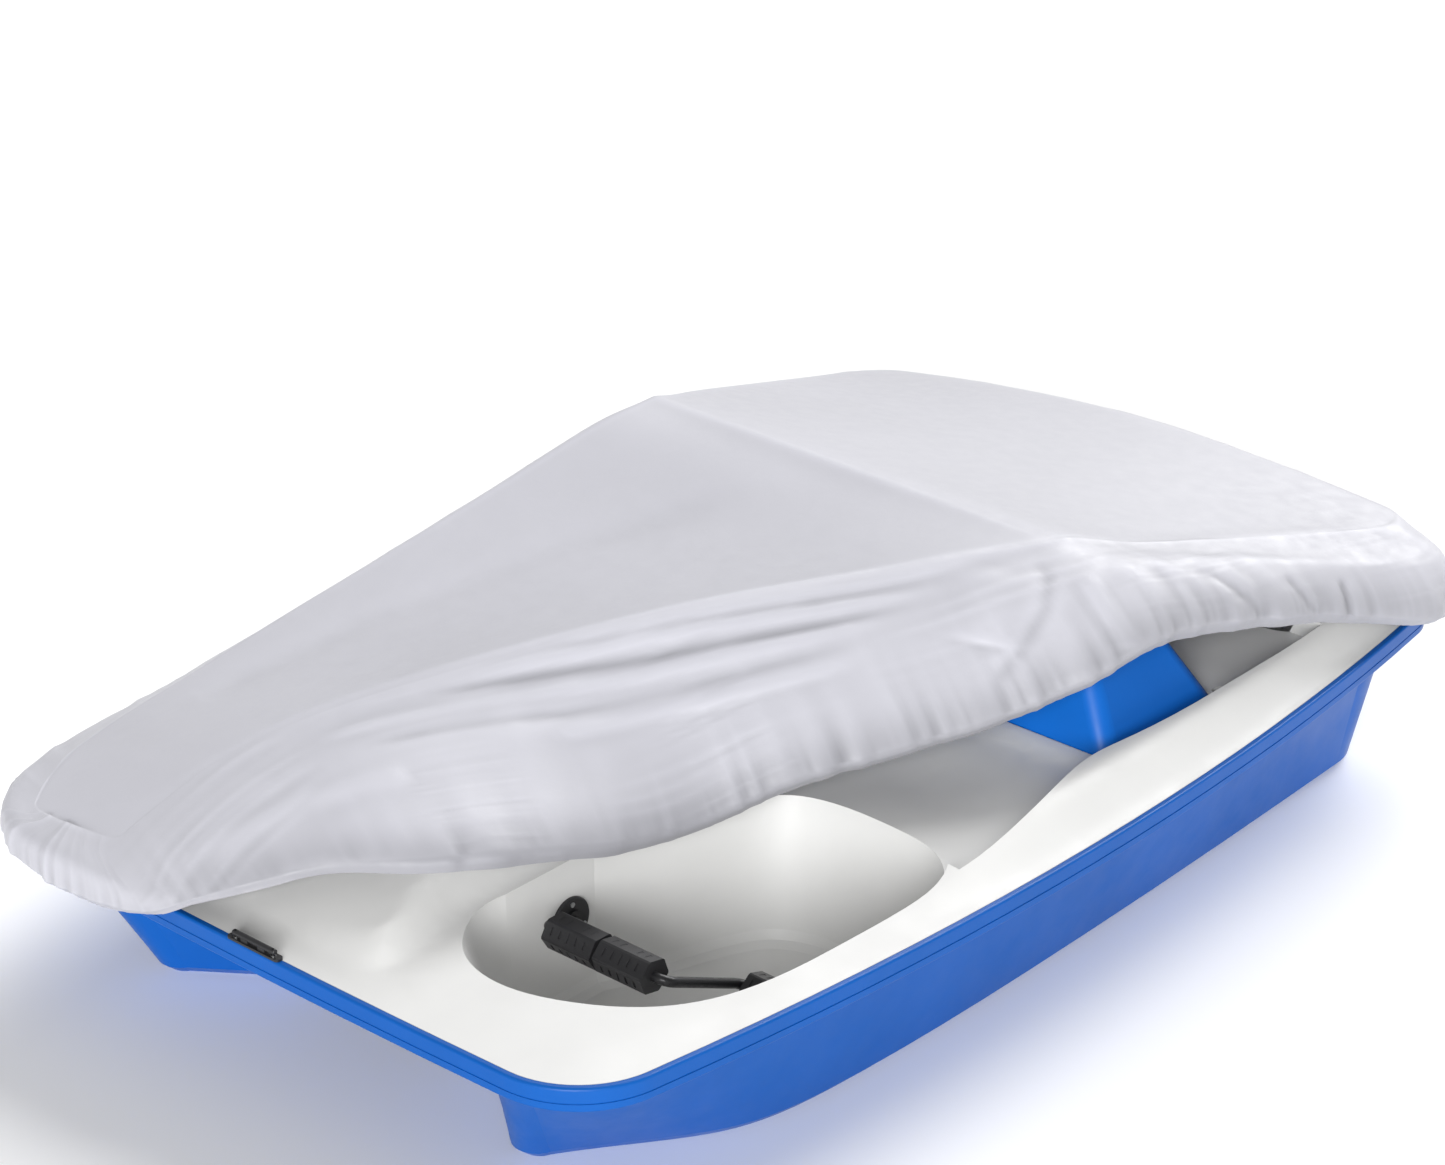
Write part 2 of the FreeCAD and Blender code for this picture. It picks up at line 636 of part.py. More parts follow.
def cleat_screws():
    z = CLEAT_Z
    screws = []
    for y in (-CLEAT_HOLE_Y, CLEAT_HOLE_Y):
        shank = rod(Vector(CLEAT_X, y, z), Vector(CLEAT_X, y, z + 4.5), 2.55)
        screws.append(fuse(shank, rod(Vector(CLEAT_X, y, z + 4), Vector(CLEAT_X, y, z + 6), 4.5)))
    return screws


def drain_plugs():
    skin_x = -1050 - 62 * (DRAIN_Z - BILGE) / (RIM_Z - RIM_DEEP - BILGE)
    plugs = []
    for y in (DRAIN_Y, -DRAIN_Y):
        stem = rod(Vector(skin_x - 12, y, DRAIN_Z), Vector(skin_x + 16, y, DRAIN_Z), DRAIN_R - RUNNING)
        head = rod(Vector(skin_x - 18, y, DRAIN_Z), Vector(skin_x - 11, y, DRAIN_Z), 19)
        key = box(skin_x - 23, skin_x - 17, y - 12, y + 12, DRAIN_Z - 3, DRAIN_Z + 3)
        plugs.append(fuse(stem, head, key))
    return plugs


def foam_block():
    return box(-780, 150, TUNNEL_HALF + 22, 600, SKIN + 0.5, 225)


# ---------------------------------------------------------------- cover
CLOTH = 2.5
COVER_CLEAR = 8.0          # cloth outside the rim
END_DROP = 8.0             # how far the end of the rim has come in at its corners
HEM_Z = 256.0
FAR_CREST = (
    (-1200, -600, 340), (-1110, -640, 402), (-938, -625, 446), (-459, -527, 590), (-345, -485, 641),
    (-290, -485, 642), (71, -541, 568), (507, -612, 451), (920, -672, 352), (1078, -640, 322), (1210, -520, 300),
)
NEAR_CREST = (
    (-1200, 560, 350), (-1094, 640, 424), (-970, 622, 458), (-732, 562, 516), (-504, 504, 572), (-345, 445, 633),
    (-290, 445, 633), (-19, 287, 622), (252, 116, 605), (547, -70, 558), (793, -225, 505), (923, -307, 462),
    (1040, -360, 400), (1160, -380, 350), (1210, -340, 312),
)
PORT_HEM = (
    (-1200, 700, 268), (-1150, 735, 275), (-1036, 745, 299), (-865, 723, 356), (-699, 701, 408), (-488, 673, 460),
    (-312, 650, 489), (-189, 636, 478), (-27, 549, 434), (134, 463, 404), (293, 378, 370), (450, 295, 311),
    (614, 264, 322), (733, 239, 352), (930, 158, 380), (1030, 20, 372), (1105, -60, 340), (1160, -130, 310),
    (1210, -200, 290),
)


def follow(line, x):
    """Point where a fold line of the cover crosses the section at x."""
    for (x0, y0, z0), (x1, y1, z1) in zip(line, line[1:]):
        if x0 <= x <= x1:
            t = (x - x0) / (x1 - x0)
            return Vector(x, y0 + (y1 - y0) * t, z0 + (z1 - z0) * t)


def rim_corner(corner_radius):
    """Centre and radius of a corner of the rim's outside, and the x where its side curve starts to turn."""
    radius = corner_radius + RIM_OUT
    x = LENGTH / 2 + RIM_OUT - END_DROP - radius
    slope = 2 * SIDE_CURVE * x / 1e6
    length = sqrt(1 + slope ** 2)
    turns_at = x + radius * slope / length
    return x, side_y(turns_at) + RIM_OUT - radius / length, radius, turns_at


def rim_y(x):
    """Where the cloth hangs outside the rim, corners included."""
    centre_x, centre_y, radius, turns_at = rim_corner(BOW_CORNER if x > 0 else STERN_CORNER)
    reach = radius + COVER_CLEAR
    past = abs(x) - centre_x
    if abs(x) <= turns_at:
        return side_y(x) + RIM_OUT + COVER_CLEAR
    if past > reach + 1:
        return centre_y - 20
    return centre_y + sqrt(max(0.0, reach ** 2 - past ** 2))


def cover_section(x):
    wide = rim_y(x)
    low = Vector(x, -wide, HEM_Z)
    shoulder = Vector(x, -wide, RIM_Z + 8)
    line = [low, shoulder, follow(FAR_CREST, x), follow(NEAR_CREST, x), follow(PORT_HEM, x)]
    facing = [X.cross(b - a).normalize() for a, b in zip(line, line[1:])]
    outer = []
    for point, before, after in zip(line, facing[:1] + facing, facing + facing[-1:]):
        outer.append(point - (before + after) * (CLOTH / (1 + before.dot(after))))
    return line, outer


def make_cover():
    bow_x = LENGTH / 2 + RIM_OUT + COVER_CLEAR
    corners = []
    for corner_radius in (STERN_CORNER, BOW_CORNER):
        x, _, radius, _ = rim_corner(corner_radius)
        corners.append([x + (radius + COVER_CLEAR) * sin(radians(15 * i)) for i in range(7)] + [bow_x])
    along = [-940, -732, -500, -345, -290, -189, -27, 134, 293, 450, 614, 733, 840, 930]
    stations = [-x for x in reversed(corners[0])] + along + corners[1]
    wires = []
    for x in stations:
        line, outer = cover_section(x)
        wires.append(Part.makePolygon(line + outer[::-1] + line[:1]))
    cloth = Part.makeLoft(wires, True, True)
    for x, push in ((-bow_x, -CLOTH), (bow_x, CLOTH)):
        line, outer = cover_section(x)
        end = Part.Face(Part.makePolygon(outer + outer[:1])).extrude(X * push)
        cloth = cloth.fuse(end)
    return cloth


# ---------------------------------------------------------------- write every node
def main():
    hull = make_hull()
    deck = make_deck()
    save("hull_shell", hull)
    save("deck_shell", deck)
    save("foam_port", foam_block())
    save("foam_starboard", mirrored(foam_block()))
    save("backrest_shell", make_backrest())
    save("crank_bar_port", crank_bar(1))
    save("crank_bar_starboard", crank_bar(-1))
    save("paddle_hub", paddle_hub())
    save("paddle_blades", *paddle_blades())
    for side, name in ((1, "port"), (-1, "starboard")):
        save("pedal_inner_" + name, pedal(side, THROW, PEDAL_STARTS[0], PEDAL_LONG, 0))
        save("pedal_middle_" + name, pedal(side, THROW, PEDAL_STARTS[1], PEDAL_LONG, 12))
        save("pedal_outer_" + name, pedal(side, -THROW, OUTER_PEDAL_START, OUTER_PEDAL_LONG, 20))
    save("inner_bearings", inner_bearing(), mirrored(inner_bearing()))
    save("inner_bearing_screws", *(bearing_screws() + [mirrored(screw) for screw in bearing_screws()]))
    save("outer_bearings", outer_bearing(), mirrored(outer_bearing()))
    deck_top = deck_z(STEER_X, 0)
    save("steering_bush", upright_bush(STEER_X, deck_top - 12, deck_top + 3, deck_top + 1))
    save("steering_foot", upright(STEER_X, 243, 247.5, 20).cut(upright(STEER_X, 240, 250, STOCK_R + RUNNING)))
    save("steering_shaft", steering_lever())
    save("steering_grip", steering_grip())
    save("steering_arm", steering_arm(STEER_X, LINK_Z))
    save("link_rod", link_rod())
    save("rudder_arm", steering_arm(RUDDER_X, LINK_Z))
    save("rudder_stock", upright(RUDDER_X, 112, LINK_Z + 5, STOCK_R))
    save("rudder_bush", upright_bush(RUDDER_X, 230, 245, 243))
    save("rudder_blade", rudder_blade())
    save("bow_cleat", bow_cleat())
    save("cleat_screws", *cleat_screws())
    save("drain_plugs", *drain_plugs())
    save("cover_fabric", make_cover())


main()
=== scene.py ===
"""Looks of the pedal boat and its lifted cover, in the CAD frame, in metres."""
import math

import bpy
import numpy as np
from mathutils import Matrix, Vector


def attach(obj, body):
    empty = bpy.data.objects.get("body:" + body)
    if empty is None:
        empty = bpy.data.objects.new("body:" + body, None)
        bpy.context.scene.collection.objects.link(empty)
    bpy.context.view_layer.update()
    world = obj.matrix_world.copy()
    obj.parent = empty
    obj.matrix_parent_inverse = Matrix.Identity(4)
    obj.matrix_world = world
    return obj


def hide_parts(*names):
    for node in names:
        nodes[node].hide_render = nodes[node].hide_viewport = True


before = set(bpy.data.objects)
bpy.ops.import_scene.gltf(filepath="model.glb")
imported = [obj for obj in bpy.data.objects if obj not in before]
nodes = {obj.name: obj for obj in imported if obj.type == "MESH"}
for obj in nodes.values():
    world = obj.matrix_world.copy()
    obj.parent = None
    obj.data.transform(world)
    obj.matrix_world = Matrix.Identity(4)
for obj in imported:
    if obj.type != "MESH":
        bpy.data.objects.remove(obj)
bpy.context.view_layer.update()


# ---------------------------------------------------------------- camera, floor and light
AZIMUTH = math.radians(131.85)
ELEVATION = math.radians(25.55)
DISTANCE = 7.276
MOVE_RIGHT = -0.043
MOVE_UP = 0.4615
FOCAL = 99.65


def make_camera():
    level = math.cos(ELEVATION)
    back = Vector((math.sin(AZIMUTH) * level, -math.cos(AZIMUTH) * level, math.sin(ELEVATION)))
    right = Vector((math.cos(AZIMUTH), math.sin(AZIMUTH), 0))
    up = back.cross(right)
    data = bpy.data.cameras.new("camera")
    data.sensor_width = 36
    data.lens = FOCAL
    data.clip_end = 100
    camera = bpy.data.objects.new("camera", data)
    bpy.context.collection.objects.link(camera)
    turn = Matrix((right, up, back)).transposed().to_4x4()
    place = back * DISTANCE + right * MOVE_RIGHT + up * MOVE_UP
    camera.matrix_world = Matrix.Translation(place) @ turn
    bpy.context.scene.camera = camera


def soft_light(name, comes_from, spread, power):
    """Broad even light from far away, like a large panel in a studio."""
    data = bpy.data.lights.new(name, "SUN")
    data.angle = math.radians(spread)
    data.energy = power
    light = bpy.data.objects.new(name, data)
    bpy.context.collection.objects.link(light)
    light.location = comes_from
    light.rotation_euler = Vector(comes_from).to_track_quat("Z", "Y").to_euler()


def make_studio():
    world = bpy.data.worlds.new("studio")
    bpy.context.scene.world = world
    world.use_nodes = True
    background = world.node_tree.nodes["Background"]
    background.inputs["Color"].default_value = (1.0, 0.995, 0.99, 1)
    background.inputs["Strength"].default_value = 0.30
    soft_light("from_astern", (-8.0, -1.8, 5.6), 42, 3.2)
    soft_light("from_ahead", (7.2, 4.6, 2.7), 28, 3.3)
    bpy.context.scene.view_settings.view_transform = "Standard"
    bpy.ops.mesh.primitive_plane_add(size=40, location=(0, 0, 0))
    floor = bpy.context.object
    floor.name = "floor"
    floor.data.materials.append(plain_floor())


# ---------------------------------------------------------------- materials
class Paint:
    """A material with a Principled shader and a few helpers to add nodes."""

    def __init__(self, name, colour, roughness, **sockets):
        self.material = bpy.data.materials.new(name)
        self.material.use_nodes = True
        self.tree = self.material.node_tree
        self.shader = self.tree.nodes["Principled BSDF"]
        self.shader.inputs["Base Color"].default_value = (*colour, 1)
        self.shader.inputs["Roughness"].default_value = roughness
        for socket, value in sockets.items():
            self.shader.inputs[socket.replace("_", " ")].default_value = value
        coordinates = self.tree.nodes.new("ShaderNodeTexCoord")
        self.place = coordinates.outputs["Object"]

    def node(self, kind, **settings):
        made = self.tree.nodes.new(kind)
        for key, value in settings.items():
            setattr(made, key, value)
        return made

    def join(self, source, target):
        self.tree.links.new(source, target)

    def noise(self, scale, detail=3.0, rough=0.55, stretch=(1, 1, 1)):
        mapping = self.node("ShaderNodeMapping")
        mapping.inputs["Scale"].default_value = stretch
        self.join(self.place, mapping.inputs["Vector"])
        made = self.node("ShaderNodeTexNoise")
        made.inputs["Scale"].default_value = scale
        made.inputs["Detail"].default_value = detail
        made.inputs["Roughness"].default_value = rough
        self.join(mapping.outputs["Vector"], made.inputs["Vector"])
        return made.outputs["Fac"]

    def spread(self, source, low, high, start=0.3, end=0.7):
        made = self.node("ShaderNodeMapRange")
        made.inputs["From Min"].default_value = start
        made.inputs["From Max"].default_value = end
        made.inputs["To Min"].default_value = low
        made.inputs["To Max"].default_value = high
        self.join(source, made.inputs["Value"])
        return made.outputs["Result"]

    def vary_colour(self, source, dark, light):
        ramp = self.node("ShaderNodeValToRGB")
        ramp.color_ramp.elements[0].position = 0.3
        ramp.color_ramp.elements[0].color = (*dark, 1)
        ramp.color_ramp.elements[1].position = 0.7
        ramp.color_ramp.elements[1].color = (*light, 1)
        self.join(source, ramp.inputs["Fac"])
        self.join(ramp.outputs["Color"], self.shader.inputs["Base Color"])

    def vary_roughness(self, source, low, high):
        self.join(self.spread(source, low, high), self.shader.inputs["Roughness"])

    def bump(self, *layers):
        """Each layer is (height source, distance in metres, strength)."""
        last = None
        for source, distance, strength in layers:
            made = self.node("ShaderNodeBump")
            made.inputs["Distance"].default_value = distance
            made.inputs["Strength"].default_value = strength
            self.join(source, made.inputs["Height"])
            if last:
                self.join(last, made.inputs["Normal"])
            last = made.outputs["Normal"]
        self.join(last, self.shader.inputs["Normal"])


def shade(colour, factor):
    return tuple(min(1.0, c * factor) for c in colour)


def plain_floor():
    paint = Paint("floor", (0.97, 0.97, 0.97), 0.8)
    paint.bump((paint.noise(60), 0.0005, 0.1))
    return paint.material


def moulded_plastic(name, colour, roughness, grain, grain_depth, wave, contrast, shine=0.5):
    """Vacuum-formed sheet: slow waviness, fine pebble grain, faint mottling and a varied gloss."""
    paint = Paint(name, colour, roughness, Specular_IOR_Level=shine)
    paint.vary_colour(paint.noise(3.5, 4), shade(colour, 1 - contrast), shade(colour, 1 + contrast))
    paint.vary_roughness(paint.noise(11, 5), roughness * 0.85, roughness * 1.2)
    paint.bump((paint.noise(5, 2), wave, 0.25), (paint.noise(grain, 2), grain_depth, 0.35))
    return paint.material


def metal(name, colour, roughness, stretch=(1, 1, 1), metallic=1.0):
    paint = Paint(name, colour, roughness, Metallic=metallic)
    streaks = paint.noise(160, 3, 0.6, stretch)
    paint.vary_colour(paint.noise(25, 4), shade(colour, 0.88), shade(colour, 1.08))
    paint.vary_roughness(streaks, roughness * 0.75, roughness * 1.35)
    paint.bump((streaks, 0.0002, 0.25))
    return paint.material


def foam():
    paint = Paint("foam_bead", (0.86, 0.86, 0.84), 0.85)
    cells = paint.node("ShaderNodeTexVoronoi")
    cells.inputs["Scale"].default_value = 220
    paint.join(paint.place, cells.inputs["Vector"])
    paint.vary_colour(paint.noise(8), (0.8, 0.8, 0.77), (0.9, 0.9, 0.88))
    paint.bump((cells.outputs["Distance"], 0.001, 0.5))
    return paint.material


def rubber():
    paint = Paint("grip_rubber", (0.02, 0.02, 0.02), 0.6)
    rings = paint.node("ShaderNodeTexWave", bands_direction="X")
    rings.inputs["Scale"].default_value = 40
    paint.join(paint.place, rings.inputs["Vector"])
    paint.vary_colour(paint.noise(60), (0.015, 0.015, 0.015), (0.03, 0.03, 0.03))
    paint.bump((rings.outputs["Fac"], 0.0015, 0.6), (paint.noise(600), 0.0002, 0.4))
    return paint.material


CLOTH_COLOUR = (0.505, 0.505, 0.552)


def coated_cloth():
    """Silver-white polyester: fine weave, small creases and a soft coated gloss."""
    paint = Paint("cover_cloth", CLOTH_COLOUR, 0.5, Sheen_Weight=0.12, Sheen_Roughness=0.5)
    paint.shader.inputs["Specular IOR Level"].default_value = 0.4
    paint.vary_colour(paint.noise(2.2, 5), shade(CLOTH_COLOUR, 0.965), shade(CLOTH_COLOUR, 1.03))
    paint.vary_roughness(paint.noise(30, 4), 0.42, 0.6)
    # Painted shade: the colour is darker in the fold hollows and near the hem, a little lighter on fold tops.
    tone = paint.node("ShaderNodeAttribute", attribute_name="tone")
    shaded = paint.node("ShaderNodeVectorMath", operation="SCALE")
    mottled = paint.shader.inputs["Base Color"].links[0].from_socket
    paint.join(mottled, shaded.inputs[0])
    paint.join(tone.outputs["Fac"], shaded.inputs["Scale"])
    paint.join(shaded.outputs["Vector"], paint.shader.inputs["Base Color"])
    weave = []
    for direction in ("X", "Y"):
        threads = paint.node("ShaderNodeTexWave", bands_direction=direction)
        threads.inputs["Scale"].default_value = 300
        threads.inputs["Distortion"].default_value = 0.4
        paint.join(paint.place, threads.inputs["Vector"])
        weave.append((threads.outputs["Fac"], 0.0001, 0.25))
    creases = paint.noise(9, 5, 0.55, (1, 1, 1.6))
    paint.bump((creases, 0.006, 0.16), (paint.noise(45, 5), 0.0010, 0.28), *weave)
    return paint.material


HULL_BLUE = (0.003, 0.096, 0.41)
BACK_BLUE = (0.004, 0.125, 0.52)
DECK_GREY = (0.71, 0.71, 0.70)


def dress_nodes():
    blue = moulded_plastic("hull_blue", HULL_BLUE, 0.36, 380, 0.0001, 0.0010, 0.06, 0.22)
    back = moulded_plastic("backrest_blue", BACK_BLUE, 0.38, 380, 0.00012, 0.0010, 0.06, 0.22)
    grey = moulded_plastic("deck_grey", DECK_GREY, 0.46, 420, 0.00018, 0.0010, 0.03)
    black = moulded_plastic("black_plastic", (0.018, 0.018, 0.02), 0.42, 700, 0.0002, 0.0001, 0.15)
    paddle = moulded_plastic("paddle_plastic", (0.07, 0.075, 0.08), 0.5, 500, 0.0002, 0.0004, 0.1)
    black_metal = metal("crank_paint", (0.02, 0.02, 0.022), 0.36, metallic=0.3)
    steel = metal("stainless", (0.62, 0.63, 0.64), 0.28, (1, 1, 14))
    bead = foam()
    grip = rubber()
    looks = {
        "hull_shell": blue, "backrest_shell": back, "deck_shell": grey, "foam_port": bead,
        "foam_starboard": bead, "crank_bar_port": black_metal, "crank_bar_starboard": black_metal,
        "paddle_hub": paddle, "paddle_blades": paddle, "rudder_blade": paddle, "steering_grip": grip,
        "inner_bearing_screws": steel, "cleat_screws": steel, "steering_shaft": steel,
        "steering_arm": steel, "link_rod": steel, "rudder_arm": steel, "rudder_stock": steel,
    }
    for name, node in nodes.items():
        material = looks.get(name, black)
        if not node.material_slots:
            node.data.materials.append(material)
        for held in node.material_slots:
            held.material = material


# ---------------------------------------------------------------- shape of the cover
# Fold lines from the stern to the bow; both crests are broken at the ridge over the backrest.
RIDGE_X = -0.285
FAR_AFT = [(-1.165, -0.600, 0.392), (-1.110, -0.640, 0.404), (-0.938, -0.625, 0.446),
           (-0.691, -0.578, 0.520), (-0.459, -0.527, 0.592), (-0.340, -0.494, 0.628),
           (RIDGE_X, -0.485, 0.642)]
FAR_FORE = [(RIDGE_X, -0.485, 0.642), (-0.157, -0.503, 0.632), (0.071, -0.541, 0.568), (0.292, -0.577, 0.508),
            (0.507, -0.612, 0.451), (0.716, -0.640, 0.398), (0.920, -0.660, 0.352), (1.070, -0.640, 0.326),
            (1.165, -0.560, 0.312)]
NEAR_AFT = [(-1.170, 0.600, 0.440), (-1.100, 0.645, 0.448), (-0.970, 0.622, 0.470), (-0.732, 0.562, 0.520),
            (-0.504, 0.504, 0.572), (-0.340, 0.458, 0.626), (RIDGE_X, 0.445, 0.634)]
NEAR_FORE = [(RIDGE_X, 0.445, 0.634), (-0.150, 0.368, 0.632), (-0.019, 0.287, 0.622), (0.252, 0.116, 0.605),
             (0.547, -0.070, 0.558), (0.793, -0.225, 0.500), (0.950, -0.312, 0.440), (1.080, -0.360, 0.375),
             (1.170, -0.385, 0.325)]
PORT_HEM = [(-1.195, 0.660, 0.262), (-1.150, 0.735, 0.275), (-1.036, 0.745, 0.299), (-0.865, 0.723, 0.354),
            (-0.699, 0.701, 0.408), (-0.488, 0.673, 0.460), (-0.312, 0.650, 0.486), (-0.189, 0.630, 0.464),
            (-0.027, 0.545, 0.412), (0.134, 0.460, 0.385), (0.293, 0.378, 0.362), (0.450, 0.295, 0.311),
            (0.614, 0.264, 0.322), (0.733, 0.239, 0.350), (0.928, 0.156, 0.378), (1.030, 0.020, 0.368),
            (1.105, -0.050, 0.345), (1.175, -0.130, 0.315), (1.203, -0.190, 0.285)]
HEM_LOW = 0.254
WRAP_Z = 0.300             # below this the cloth lies beside the rim, whose top is at 0.285
DECK_HALF = 0.788          # half beam of the deck amidships
RIM_HALF = 0.800           # half beam of the rim amidships
SIDE_CURVE = 0.073         # how far the side has come in 1 m from amidships
CORNER_END = 1.179         # how far the rim's rounded corners reach from amidships
BOW_RADIUS = 0.177         # corners of the rim
STERN_RADIUS = 0.102
HANG_OUT = 0.020           # cloth outside the deck edge
AFT = 110                  # rows behind the ridge
FORE = 190                 # rows ahead of it
ALONG = AFT + FORE - 1
ACROSS = 150
DOWN = 64


def smooth(t):
    t = np.clip(t, 0.0, 1.0)
    return t * t * (3 - 2 * t)


def curve_through(points, count):
    """Evenly spaced points along a smooth curve through the given ones."""
    p = np.array(points, float)
    ends = np.vstack([2 * p[0] - p[1], p, 2 * p[-1] - p[-2]])
    fine = []
    for a, b, c, d in zip(ends, ends[1:], ends[2:], ends[3:]):
        for t in np.linspace(0, 1, 40, endpoint=False):
            square = (2 * a - 5 * b + 4 * c - d) * t ** 2
            cube = (3 * b - a - 3 * c + d) * t ** 3
            fine.append(0.5 * (2 * b + (c - a) * t + square + cube))
    fine.append(p[-1])
    fine = np.array(fine)
    step = np.linalg.norm(np.diff(fine, axis=0), axis=1)
    along = np.concatenate([[0], np.cumsum(step)])
    want = np.linspace(0, along[-1], count)
    return np.stack([np.interp(want, along, fine[:, k]) for k in range(3)], 1)


def corner_radius(x):
    return BOW_RADIUS if x > 0 else STERN_RADIUS


def rim_outside(x):
    """Half width of the cloth outside the rim, with the rounded corners."""
    radius = corner_radius(x)
    centre_x = CORNER_END - radius
    slope = 0.146 * centre_x
    length = math.hypot(1, slope)
    turns_at = centre_x + radius * slope / length
    if abs(x) <= turns_at:
        return DECK_HALF - SIDE_CURVE * x * x + HANG_OUT
    centre_y = RIM_HALF - SIDE_CURVE * turns_at ** 2 - radius / length
    reach = radius + HANG_OUT - 0.012
    return centre_y + math.sqrt(max(0.0, reach ** 2 - (abs(x) - centre_x) ** 2))


def top_sheet():
    far = np.vstack([curve_through(FAR_AFT, AFT), curve_through(FAR_FORE, FORE)[1:]])
    near = np.vstack([curve_through(NEAR_AFT, AFT), curve_through(NEAR_FORE, FORE)[1:]])
    t = np.linspace(0, 1, ACROSS)
    top = far[:, None, :] * (1 - t[None, :, None]) + near[:, None, :] * t[None, :, None]
    from_stern = np.arange(ALONG)[:, None] / ALONG
    arch = np.sin(np.pi * t)
    top[:, :, 2] += 0.038 * arch * np.exp(-(from_stern / 0.16) ** 2)
    # The cloth sags ahead of the ridge and stays full behind it.
    ahead = top[:, :, 0] - RIDGE_X
    sag = 1 - np.exp(-np.maximum(ahead, 0) / 0.10)
    top[:, :, 2] -= 0.030 * arch * sag * smooth((0.95 - top[:, :, 0]) / 0.7)
    top[:, :, 2] += 0.012 * arch * smooth(-ahead / 0.30)
    return top


def edge_ring():
    """Grid places round the top sheet: starboard to the bow, across, port to the stern, across."""
    ring = [(i, 0) for i in range(ALONG)]
    ring += [(ALONG - 1, j) for j in range(1, ACROSS)]
    ring += [(i, ACROSS - 1) for i in range(ALONG - 2, -1, -1)]
    ring += [(0, j) for j in range(ACROSS - 2, 0, -1)]
    return ring


def hem_ring():
    """Hem points in the order of the ring."""
    starboard = [(x, -rim_outside(x), HEM_LOW) for x in np.linspace(-1.150, 1.120, 60)]
    bow = [starboard[-1], (1.170, -0.632, 0.250), (1.197, -0.560, 0.246), (1.204, -0.450, 0.240),
           (1.206, -0.320, 0.248), PORT_HEM[-1]]
    stern = [PORT_HEM[0], (-1.203, 0.450, 0.256), (-1.206, 0.0, 0.252), (-1.203, -0.450, 0.254),
             (-1.192, -0.620, 0.254), starboard[0]]
    return np.vstack([
        curve_through(starboard, ALONG),
        curve_through(bow, ACROSS)[1:],
        curve_through(PORT_HEM[::-1], ALONG)[1:],
        curve_through(stern, ACROSS)[1:-1],
    ])


def round_the_ring(starboard, bow, port_fore, port_aft, stern):
    """A value for each place round the ring, blended where one side meets the next."""
    values = [starboard] * ALONG + [bow] * (ACROSS - 1)
    values += [port_fore] * (FORE - 1) + [port_aft] * (AFT - 1) + [stern] * (ACROSS - 1)
    values = values[:2 * ALONG + 2 * ACROSS - 4]
    window = np.ones(31) / 31
    return np.convolve(np.pad(values, 15, "wrap"), window, "valid")


def skirt_sheet(crest, hem):
    """Cloth from the crest down to the hem: it bellies out, then rolls under at the elastic."""
    u = np.linspace(0, 1, DOWN + 1)[1:]
    t = 1 - (1 - u) ** 1.35
    drop = hem - crest
    deep = np.linalg.norm(drop, axis=1)
    ahead = np.roll(crest, -3, axis=0) + np.roll(hem, -3, axis=0)
    behind = np.roll(crest, 3, axis=0) + np.roll(hem, 3, axis=0)
    outward = np.cross(drop, ahead - behind)
    outward /= np.maximum(np.linalg.norm(outward, axis=1, keepdims=True), 1e-9)
    fullness = round_the_ring(0.005, 0.010, 0.032, 0.050, 0.026)
    belly = np.minimum(fullness, 0.26 * deep)
    roll_starts = 1 - np.minimum(0.55, round_the_ring(0.065, 0.065, 0.105, 0.095, 0.065) / deep)
    rolled = np.clip((t[:, None] - roll_starts[None]) / (1 - roll_starts[None]), 0, 1)
    shape = smooth(t[:, None] / 0.5) * np.sqrt(1 - rolled ** 2)
    # Where the cloth wraps the rim it comes down outside the rim's edge before it turns to the hem.
    wraps = round_the_ring(1, 1, 0, 0, 1)
    turn = 1 - np.minimum(0.5, 0.042 / deep)
    shoulder = crest + drop * turn[:, None]
    over_rim = hem.copy()
    over_rim[:, 2] = 0.297
    shoulder += (over_rim - shoulder) * wraps[:, None]
    upper = crest[None] + (shoulder - crest)[None] * (t[:, None] / turn[None])[:, :, None]
    past = (t[:, None] - turn[None]) / (1 - turn[None])
    lower = shoulder[None] + (hem - shoulder)[None] * past[:, :, None]
    skirt = np.where((past < 0)[:, :, None], upper, lower)
    return skirt + outward[None] * (belly[None] * shape)[:, :, None], deep, t


